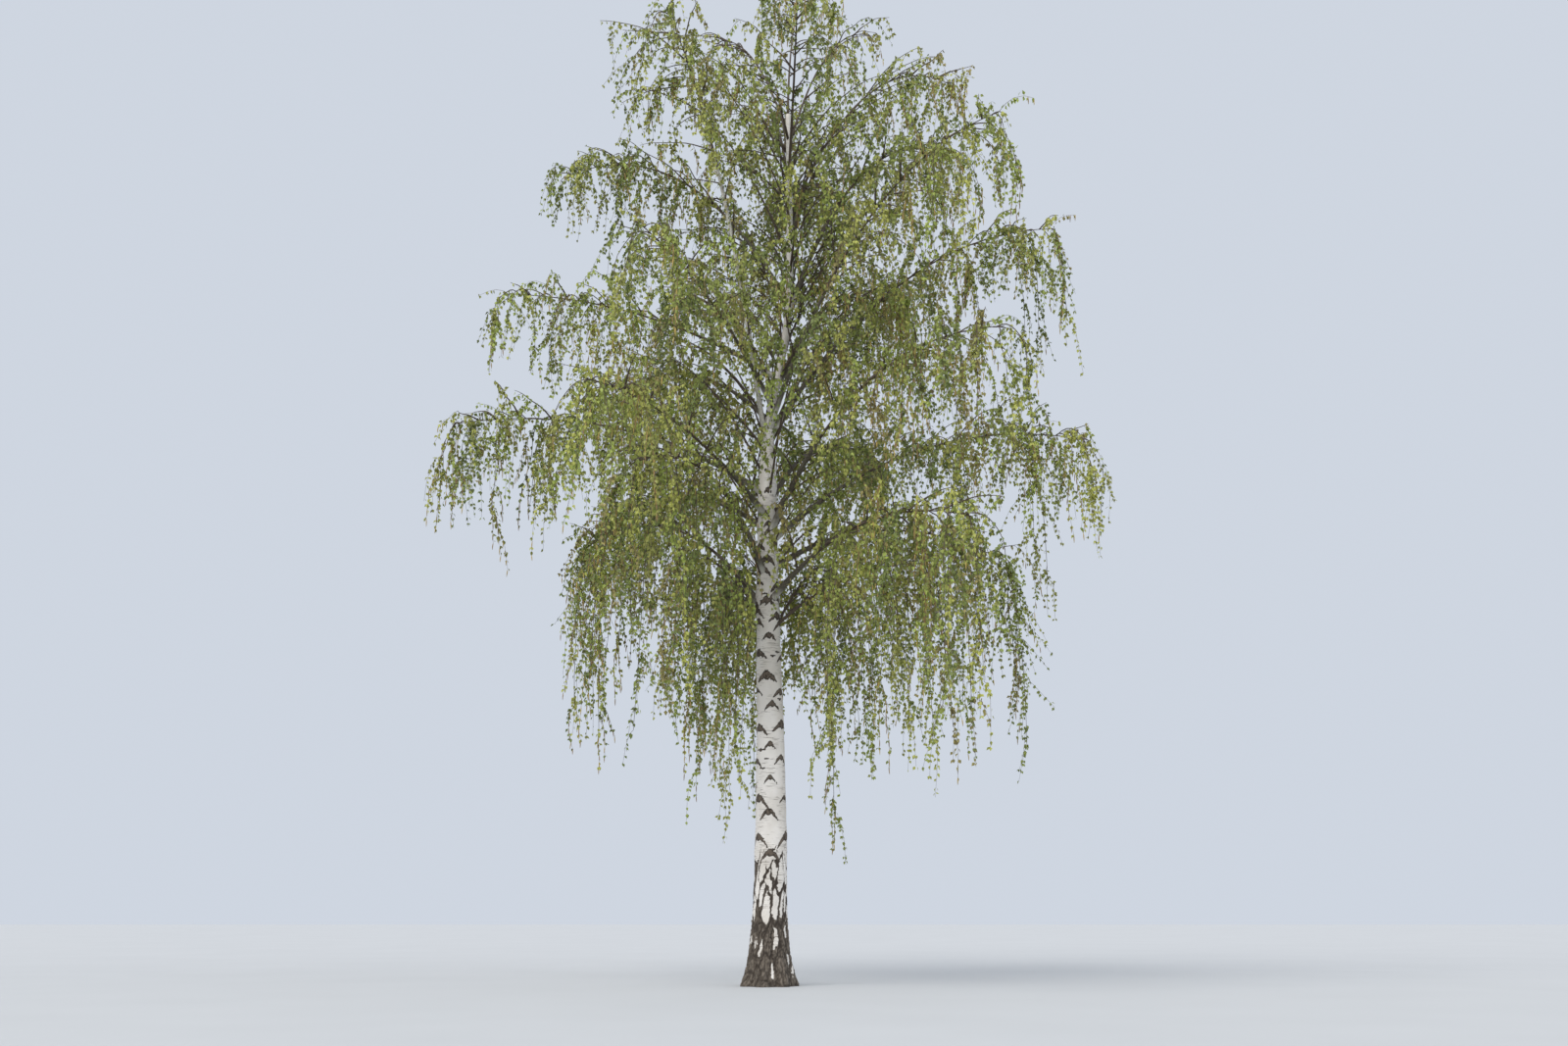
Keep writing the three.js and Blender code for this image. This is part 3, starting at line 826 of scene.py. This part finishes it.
def trunk_scars(lines):
    """Branch scars: bearing, height, half width, drop of the arms, thickness."""
    draw = seeded_draws(SEED + 77)
    scars = []
    height = SCARS_FROM
    turn = 0
    while height < SCARS_TO:
        for third in (0, 120, 240):
            bearing = math.radians(-90 + SCAR_TURN * turn + third + between(-14, 14, draw()))
            size = between(*SCAR_SIZE, draw())
            wide = trunk_radius(height) * 0.8 * size
            drop = wide * between(0.75, 1.2, draw())
            place = height + between(-40, 40, draw())
            scars.append((bearing, place, wide, drop, SCAR_THICKNESS * size))
        turn += 1
        height += between(*SCAR_STEP, draw())
    for line in lines:
        if line["name"] == "top":
            continue
        start, crest, _ = line["curve"]
        thick = trunk_radius(start[2])
        rise = thick * (crest[2] - start[2]) / np.linalg.norm((crest - start)[:2])
        wide = min(thick * 0.95, 110)
        scars.append((line["bearing"], start[2] + rise + 10, wide, wide * 1.1, 12 + wide * 0.22))
    for _ in range(SMALL_MARKS):
        height = between(*SMALL_MARK_HEIGHTS, draw() ** 1.3)
        wide = trunk_radius(height) * between(0.15, 0.4, draw())
        scars.append((draw() * 2 * math.pi, height, wide, wide * 0.12, between(6, 13, draw())))
    return scars


TRUNK_SIDES = 160
# Stretches of the trunk: from one height to the next, with so many rings of points.
TRUNK_RINGS = ((0, 1500, 200), (1500, 5000, 250), (5000, TRUNK_TOP, 151))
# At the foot the white bark is split into upright slivers. GAP_WIDTHS has heights and the width of
# the gaps there, where 1 would leave nothing white, and LOST_SHARES the share of slivers lost.
SLIVER_COLUMNS = 17
SLIVER_HEIGHT = 330
GAP_WIDTHS = (
    (0, 200, 450, 750, 1050, 1300, 1500, 1650),
    (0.62, 0.52, 0.42, 0.3, 0.2, 0.09, -0.02, -0.3),
)
LOST_SHARES = ((0, 250, 500, 800, 1100, 1350), (0.75, 0.5, 0.32, 0.2, 0.1, 0))
CORK_TOP = 1750
CRACK_COLUMNS = 44
CRACK_HEIGHT = 150
OLD_BARK_TOP = 1650
OLD_BARK_FADE = 1100
OLD_BARK_WAVER = 260
OLD_BARK_DEPTH = 5
CORK_RISE = 3
CORK_ROUGHNESS = 5
GULLY_DEPTH = 19
GULLIES_TOP = 1600
SCAR_DEPTH = 2.5
THIN_TRUNK_RADIUS = 90


def scar_marks(a, z, place, radius, rough, scars):
    """How deep in a scar each point of the trunk lies, and how far the bark swells round it."""
    scar = np.zeros_like(z)
    swell = np.zeros_like(z)
    ragged = noise(place, 26, 51) * 9
    for bearing, height, wide, drop, thick in scars:
        off = (a - bearing + math.pi) % (2 * math.pi) - math.pi
        across = off * radius + ragged
        share = np.clip(np.abs(across) / wide, 0, 1)
        line_height = height - drop * share ** 1.35
        deep = thick * np.sqrt(1 - share ** 2) * (0.95 + 0.5 * rough) * between(1, 0.85, share) + 1e-3
        band = smooth_step(1.5 - np.abs(z + ragged * 0.6 - line_height) / deep)
        above = (z - height + thick * 0.6) / (thick * 1.2)
        eye = smooth_step(1.5 - np.hypot(across / (wide * 0.3), above))
        scar = np.maximum(scar, np.maximum(band * (share < 1), eye))
        distance = (across / (wide * 0.8)) ** 2 + ((z - height) / (thick * 2.4)) ** 2
        swell += np.exp(-distance) * thick * 0.3
    return scar, swell


def cork_marks(a, z, place, rough):
    """How much of each point of the trunk is cork, and how far it is from a gap in the bark."""
    bend = 0.2 * noise(place * (1, 1, 0.6), 75, 71) + 0.06 * noise(place, 20, 81)
    gap, draw = plates(a + bend, z + 500 * bend, SLIVER_COLUMNS, SLIVER_HEIGHT, 91)
    width = np.interp(z, *GAP_WIDTHS) + 0.13 * noise(place * (1, 1, 0.5), 40, 95)
    white = np.clip((gap + 0.06 * rough - width) / 0.32 + 0.5, 0, 1)
    white *= smooth_step((draw - np.interp(z, *LOST_SHARES)) / 0.05 + 0.5)
    return np.where(z < CORK_TOP, 1 - white, 0), gap


def make_trunk(lines, material):
    heights = np.concatenate([
        np.linspace(low, high, rings, endpoint=high == TRUNK_TOP) for low, high, rings in TRUNK_RINGS
    ])
    angles = np.arange(TRUNK_SIDES) * 2 * math.pi / TRUNK_SIDES
    z, a = np.meshgrid(heights, angles, indexing="ij")
    lobes = 1 + LOBE_DEPTH * np.exp(-z / LOBE_HEIGHT) * np.cos(ROOT_LOBES * a)
    radius = trunk_radius(z) * lobes
    centre = trunk_centre(z)
    way = np.stack([np.cos(a), np.sin(a), np.zeros_like(a)], axis=-1)
    place = way * radius[..., None] + centre
    wavered = OLD_BARK_TOP - z + OLD_BARK_WAVER * noise(place, 210, 3)
    old = smooth_step(wavered / OLD_BARK_FADE)
    warp = 0.32 * noise(place * (1, 1, 0.45), 60, 11)
    crack, _ = plates(a + warp * 0.14, z - warp * 90, CRACK_COLUMNS, CRACK_HEIGHT, 31)
    rough = noise(place * (1, 1, 0.6), 16, 41)
    scar, swell = scar_marks(a, z, place, radius, rough, trunk_scars(lines))
    cork, gap = cork_marks(a, z, place, rough)
    raised = smooth_step((cork - 0.3) / 0.35)
    gully = np.maximum(1 - smooth_step(gap / 0.3), 0.75 * (1 - smooth_step(crack / 0.3)))
    sunk = GULLY_DEPTH * gully * smooth_step(1.15 - z / GULLIES_TOP)
    relief = raised * (CORK_RISE + CORK_ROUGHNESS * rough - sunk) - OLD_BARK_DEPTH * old
    relief += swell - SCAR_DEPTH * scar + 0.8 * noise(place * (0.4, 0.4, 2.4), 18, 61)
    relief *= np.minimum(1, radius / THIN_TRUNK_RADIUS)
    points = centre + way * (radius + relief)[..., None]
    points[..., 2] = z
    # The third mark is where painted shade darkens the sunk gullies of the cork.
    marks = np.stack([scar, cork, gully * raised], axis=-1)
    rings = len(heights)
    foot = rings * TRUNK_SIDES
    last = foot - TRUNK_SIDES
    edge = np.arange(TRUNK_SIDES)
    after = (edge + 1) % TRUNK_SIDES
    bottom = np.stack([np.full(TRUNK_SIDES, foot), after, edge], axis=-1)
    top = np.stack([np.full(TRUNK_SIDES, foot + 1), last + edge, last + after], axis=-1)
    faces = np.concatenate([ring_walls(rings, TRUNK_SIDES), bottom, top])
    ends = np.array([trunk_centre(0), trunk_centre(TRUNK_TOP)])
    points = np.concatenate([points.reshape(-1, 3), ends])
    piece = mesh_piece("trunk_bark", points, faces, "trunk", material)
    set_marks(piece, np.concatenate([marks.reshape(-1, 3), np.zeros((2, 3))]))


BOUGH_SIDES = 24
BOUGH_RINGS = 56


def make_boughs(lines, material):
    """The boughs, rough and with a collar at the trunk, pale there and brown towards the tips."""
    boughs = [line for line in lines if line["bare"] > 0]
    all_points = []
    all_faces = []
    all_marks = []
    for index, line in enumerate(boughs):
        share = np.linspace(0, 1, BOUGH_RINGS) ** 1.15
        path = curve_points(line["curve"], share * line["bare"])
        radius = between(line["radius"], BOUGH_TIP_RADIUS, share)
        radius = radius * (1 + COLLAR * np.exp(-share / COLLAR_SHARE))
        points, faces = tubes(path[None], radius[None], BOUGH_SIDES)
        centres = np.repeat(path, BOUGH_SIDES, axis=0)
        out = unit(points - centres)
        along = np.repeat(share, BOUGH_SIDES)
        thick = np.repeat(radius, BOUGH_SIDES)
        bumps = noise(points, 34, 100 + index) * 0.05 + noise(points, 11, 200 + index) * 0.025
        points = points + out * (bumps * thick)[:, None]
        under = smooth_step(0.5 - out[:, 2] * 0.5 + 0.35 * noise(points, 70, 300 + index))
        pale = np.clip(1.1 - along * 2.6, 0, 1) * (0.35 + 0.65 * under)
        if line["name"].startswith("leader"):
            pale = np.clip(1.2 - along * 0.5, 0, 1)
        patch = smooth_step(noise(points * (1, 1, 1.4), 60, 400 + index) * 2.2 - 0.5)
        all_marks.append(np.stack([patch, 1 - pale, np.zeros_like(pale)], axis=-1))
        all_faces.append(faces + sum(len(p) for p in all_points))
        all_points.append(points)
    points = np.concatenate(all_points)
    faces = np.concatenate(all_faces)
    piece = mesh_piece("bough_bark", points, faces, "bough_", material)
    set_marks(piece, np.concatenate(all_marks))


def new_material(name, roughness):
    material = bpy.data.materials.new(name)
    material.use_nodes = True
    shader = material.node_tree.nodes["Principled BSDF"]
    shader.inputs["Roughness"].default_value = roughness
    return material, material.node_tree, shader


def add_node(tree, kind, inputs, **settings):
    """A node's outputs. Each of its inputs is a number, a vector, a colour or a linked socket."""
    node = tree.nodes.new(f"ShaderNode{kind}")
    for key, value in settings.items():
        setattr(node, key, value)
    for key, value in inputs.items():
        socket = node.inputs[key]
        if isinstance(value, bpy.types.NodeSocket):
            tree.links.new(value, socket)
        else:
            socket.default_value = (*value, 1) if socket.type == "RGBA" else value
    return node.outputs


def noise_node(tree, scale, stretch, detail):
    """Noise in the object's own space, with a stretch of its three axes."""
    place = add_node(tree, "TexCoord", {})["Object"]
    place = add_node(tree, "Mapping", {"Vector": place, "Scale": stretch})["Vector"]
    return add_node(tree, "TexNoise", {"Vector": place, "Scale": scale, "Detail": detail})["Fac"]


def ramp_node(tree, value, low, high):
    """A smooth step that is 0 below low and 1 above high."""
    inputs = {"Value": value, "From Min": low, "From Max": high}
    return add_node(tree, "MapRange", inputs, interpolation_type="SMOOTHSTEP")["Result"]


def math_node(tree, operation, a, b):
    return add_node(tree, "Math", {0: a, 1: b}, operation=operation)[0]


def mix_node(tree, share, a, b):
    """Mixes two colours, each a tuple or a socket."""
    return add_node(tree, "Mix", {"Factor": share, 6: a, 7: b}, data_type="RGBA")[2]


def bump_node(tree, shader, height, strength, distance):
    inputs = {"Height": height, "Strength": strength, "Distance": distance}
    tree.links.new(add_node(tree, "Bump", inputs)["Normal"], shader.inputs["Normal"])


def marks_node(tree):
    colour = add_node(tree, "Attribute", {}, attribute_name="marks")["Color"]
    return add_node(tree, "SeparateColor", {"Color": colour})


WHITE_COLOURS = ((0.60, 0.56, 0.505), (0.74, 0.705, 0.66))
DASH_COLOUR = (0.19, 0.16, 0.13)
SCAR_COLOURS = ((0.03, 0.023, 0.017), (0.13, 0.102, 0.078))
CORK_COLOURS = ((0.068, 0.055, 0.042), (0.18, 0.15, 0.12))
# Painted shade: the near-black colour laid into the cork's sunk gullies, where shade falls.
GULLY_SHADE_COLOUR = (0.035, 0.026, 0.019)
PALE_BOUGH_COLOURS = ((0.40, 0.38, 0.32), (0.60, 0.58, 0.52))
PATCH_COLOUR = (0.10, 0.08, 0.06)
BROWN_BOUGH_COLOURS = ((0.058, 0.049, 0.032), (0.125, 0.108, 0.075))


def trunk_material():
    """White bark with dark dashes and scars, and cork with its gullies darkened by painted shade where
    the marks say so.
    """
    material, tree, shader = new_material("white_birch_bark", 0.62)
    marks = marks_node(tree)
    grain = noise_node(tree, 55, (1, 1, 0.5), 4)
    cloud = noise_node(tree, 3.2, (1, 1, 0.7), 3)
    white = mix_node(tree, ramp_node(tree, cloud, 0.35, 0.66), *WHITE_COLOURS)
    streaks = noise_node(tree, 9, (1, 1, 17), 2)
    broken = noise_node(tree, 5, (1, 1, 2.2), 2)
    dash = ramp_node(tree, streaks, 0.57, 0.63)
    dash = math_node(tree, "MULTIPLY", dash, ramp_node(tree, broken, 0.44, 0.54))
    white = mix_node(tree, math_node(tree, "MULTIPLY", dash, 0.75), white, DASH_COLOUR)
    fine = math_node(tree, "SUBTRACT", grain, 0.5)
    scar = math_node(tree, "ADD", marks[0], math_node(tree, "MULTIPLY", fine, 0.9))
    scar = ramp_node(tree, scar, 0.36, 0.6)
    inner = ramp_node(tree, marks[0], 0.7, 1)
    inner = math_node(tree, "MULTIPLY", inner, ramp_node(tree, grain, 0.3, 0.6))
    dark = mix_node(tree, inner, *SCAR_COLOURS)
    scarred = mix_node(tree, scar, white, dark)
    cork = mix_node(tree, ramp_node(tree, grain, 0.3, 0.7), *CORK_COLOURS)
    # Painted shade: the cork is darkened in its gullies, as if by the shade that falls in them.
    cork = mix_node(tree, marks[2], cork, GULLY_SHADE_COLOUR)
    old = math_node(tree, "ADD", marks[1], math_node(tree, "MULTIPLY", fine, 0.5))
    old = ramp_node(tree, old, 0.42, 0.56)
    tree.links.new(mix_node(tree, old, scarred, cork), shader.inputs["Base Color"])
    dull = ramp_node(tree, math_node(tree, "MAXIMUM", old, scar), -1.6, 1.4)
    tree.links.new(dull, shader.inputs["Roughness"])
    height = math_node(tree, "ADD", grain, math_node(tree, "MULTIPLY", streaks, 0.6))
    bump_node(tree, shader, height, 0.35, 0.006)
    return material


def bough_material():
    """Bark that is pale with dark patches or brown, as the marks say."""
    material, tree, shader = new_material("brown_birch_bark", 0.72)
    marks = marks_node(tree)
    grain = noise_node(tree, 70, (1, 1, 1), 4)
    coarse = ramp_node(tree, grain, 0.3, 0.7)
    pale = mix_node(tree, coarse, *PALE_BOUGH_COLOURS)
    pale = mix_node(tree, math_node(tree, "MULTIPLY", marks[0], 0.8), pale, PATCH_COLOUR)
    brown = mix_node(tree, coarse, *BROWN_BOUGH_COLOURS)
    fine = math_node(tree, "MULTIPLY", math_node(tree, "SUBTRACT", grain, 0.5), 0.5)
    share = ramp_node(tree, math_node(tree, "ADD", marks[1], fine), 0.3, 0.75)
    tree.links.new(mix_node(tree, share, pale, brown), shader.inputs["Base Color"])
    bump_node(tree, shader, grain, 0.4, 0.004)
    return material


PLAIN_SPECULAR = 0.35


def plain_material(name, colour, roughness):
    material, tree, shader = new_material(name, roughness)
    shader.inputs["Base Color"].default_value = (*colour, 1)
    shader.inputs["Specular IOR Level"].default_value = PLAIN_SPECULAR
    return material


TWIG_ROUGHNESS = 0.6
LEAF_ROUGHNESS = 0.45
CATKIN_ROUGHNESS = 0.75
TWIG_COLOUR = (0.085, 0.062, 0.044)
SHOOT_COLOUR = (0.135, 0.102, 0.082)
GREEN_COLOURS = [
    ("mid_green", (0.224, 0.260, 0.055)),
    ("olive", (0.272, 0.279, 0.069)),
    ("yellow_green", (0.364, 0.376, 0.082)),
    ("deep_green", (0.156, 0.192, 0.049)),
    ("fresh_green", (0.286, 0.343, 0.069)),
    ("brown_green", (0.255, 0.220, 0.073)),
]
CATKIN_COLOURS = [("golden", (0.46, 0.33, 0.10)), ("brown", (0.29, 0.19, 0.080))]


def grown_tubes(grown, kind):
    end_radius, power, sides = TAPERS[kind]
    share = np.linspace(0, 1, grown[kind].shape[1]) ** power
    return tubes(grown[kind], between(grown[f"{kind}_radius"][:, None], end_radius, share), sides)


def make_twigs(grown):
    stems, stem_faces = grown_tubes(grown, "stem")
    twigs, twig_faces = grown_tubes(grown, "twig")
    points = np.concatenate([stems, twigs])
    faces = np.concatenate([stem_faces, twig_faces + len(stems)])
    material = plain_material("twig_bark", TWIG_COLOUR, TWIG_ROUGHNESS)
    mesh_piece("twigs", points, faces, "foliage_", material)


def make_shoots(grown):
    points, faces = grown_tubes(grown, "shoot")
    material = plain_material("shoot_bark", SHOOT_COLOUR, TWIG_ROUGHNESS)
    mesh_piece("shoots", points, faces, "foliage_", material)


def make_leaves(grown):
    """One piece of leaves for each green."""
    greens = []
    leaf_points = []
    for key, step, first in LEAF_SPOTS:
        owner, order, share, point, ahead = leaf_spots(grown[key], step, first)
        leaves = chance.choice(LEAVES_AT_SPOT, len(owner), p=SPOT_SHARES)
        spot = np.repeat(np.arange(len(owner)), leaves)
        size = chance.uniform(*LEAF_LENGTH, len(spot)) * (1 - LEAF_SHORTENING * share[spot])
        order = order[spot] + chance.uniform(0, 3, len(spot))
        leaf_points.append(leaf_mesh(point[spot], ahead[spot], order, size))
        greens.append(grown[f"{key}_green"][owner[spot]])
    points = np.concatenate(leaf_points)
    greens = np.concatenate(greens)
    for index, (name, colour) in enumerate(GREEN_COLOURS):
        mine = points[greens == index]
        faces = LEAF_TRIANGLES[None] + (np.arange(len(mine)) * points.shape[1])[:, None, None]
        corners = mine.reshape(-1, 3)
        faces = faces.reshape(-1, 3)
        material = plain_material(f"leaf_{name}", colour, LEAF_ROUGHNESS)
        mesh_piece(f"leaves_{name}", corners, faces, "foliage_", material, smooth=False)


def make_catkins(grown):
    """One piece of catkins for each colour."""
    paths = catkin_paths(grown["shoot"], grown["catkins"])
    kinds = chance.integers(0, len(CATKIN_COLOURS), len(paths))
    radii = CATKIN_RADIUS * np.array(CATKIN_PROFILE)
    for kind, (name, colour) in enumerate(CATKIN_COLOURS):
        mine = paths[kinds == kind]
        points, faces = tubes(mine, np.tile(radii, (len(mine), 1)), CATKIN_SIDES)
        material = plain_material(f"catkin_{name}", colour, CATKIN_ROUGHNESS)
        mesh_piece(f"catkins_{name}", points, faces, "foliage_", material)


# The stage, in metres.
CAMERA_PLACE = (0.16, -17.5, 0.82)
CAMERA_TILT = 8
CAMERA_SHIFT = 0.0971
SENSOR_WIDTH = 36
LENS = 37.8
FLOOR_HALF = 60
FLOOR_COLOURS = ((0.50, 0.51, 0.52), (0.54, 0.55, 0.56))
# Each lamp's name, place, spread in degrees, strength and colour. It shines towards the origin.
LAMPS = (
    ("key_light", (-8, -12, 14), 50, 2.3, (1, 0.97, 0.92)),
    ("fill_light", (12, -9, 6), 70, 0.8, (0.96, 0.98, 1)),
)
SKY_COLOUR = (0.62, 0.67, 0.75)


def make_camera():
    camera = add_object("camera", bpy.data.cameras.new("camera"))
    camera.location = CAMERA_PLACE
    camera.rotation_euler = (math.radians(90 + CAMERA_TILT), 0, 0)
    camera.data.sensor_width = SENSOR_WIDTH
    camera.data.lens = LENS
    camera.data.shift_y = CAMERA_SHIFT
    bpy.context.scene.camera = camera


def make_floor():
    mesh = bpy.data.meshes.new("floor")
    corners = [(FLOOR_HALF * x, FLOOR_HALF * y, 0) for x, y in ((-1, -1), (1, -1), (1, 1), (-1, 1))]
    mesh.from_pydata(corners, [], [(0, 1, 2, 3)])
    floor = add_object("floor", mesh)
    material, tree, shader = new_material("pale_floor", 0.9)
    shade = noise_node(tree, 0.6, (1, 1, 1), 2)
    tree.links.new(mix_node(tree, shade, *FLOOR_COLOURS), shader.inputs["Base Color"])
    mesh.materials.append(material)


def make_lights():
    for name, place, spread, strength, colour in LAMPS:
        data = bpy.data.lights.new(name, "SUN")
        data.angle = math.radians(spread)
        data.energy = strength
        data.color = colour
        lamp = add_object(name, data)
        lamp.location = place
        lamp.rotation_euler = (-Vector(place)).to_track_quat("-Z", "Y").to_euler()
    world = bpy.data.worlds.new("studio")
    world.use_nodes = True
    background = world.node_tree.nodes["Background"]
    background.inputs["Color"].default_value = (*SKY_COLOUR, 1)
    background.inputs["Strength"].default_value = 1
    bpy.context.scene.world = world
    bpy.context.scene.view_settings.view_transform = "Standard"


lines = all_lines()
make_trunk(lines, trunk_material())
make_boughs(lines, bough_material())
grown = grow(lines)
make_twigs(grown)
make_shoots(grown)
make_leaves(grown)
make_catkins(grown)
make_camera()
make_floor()
make_lights()
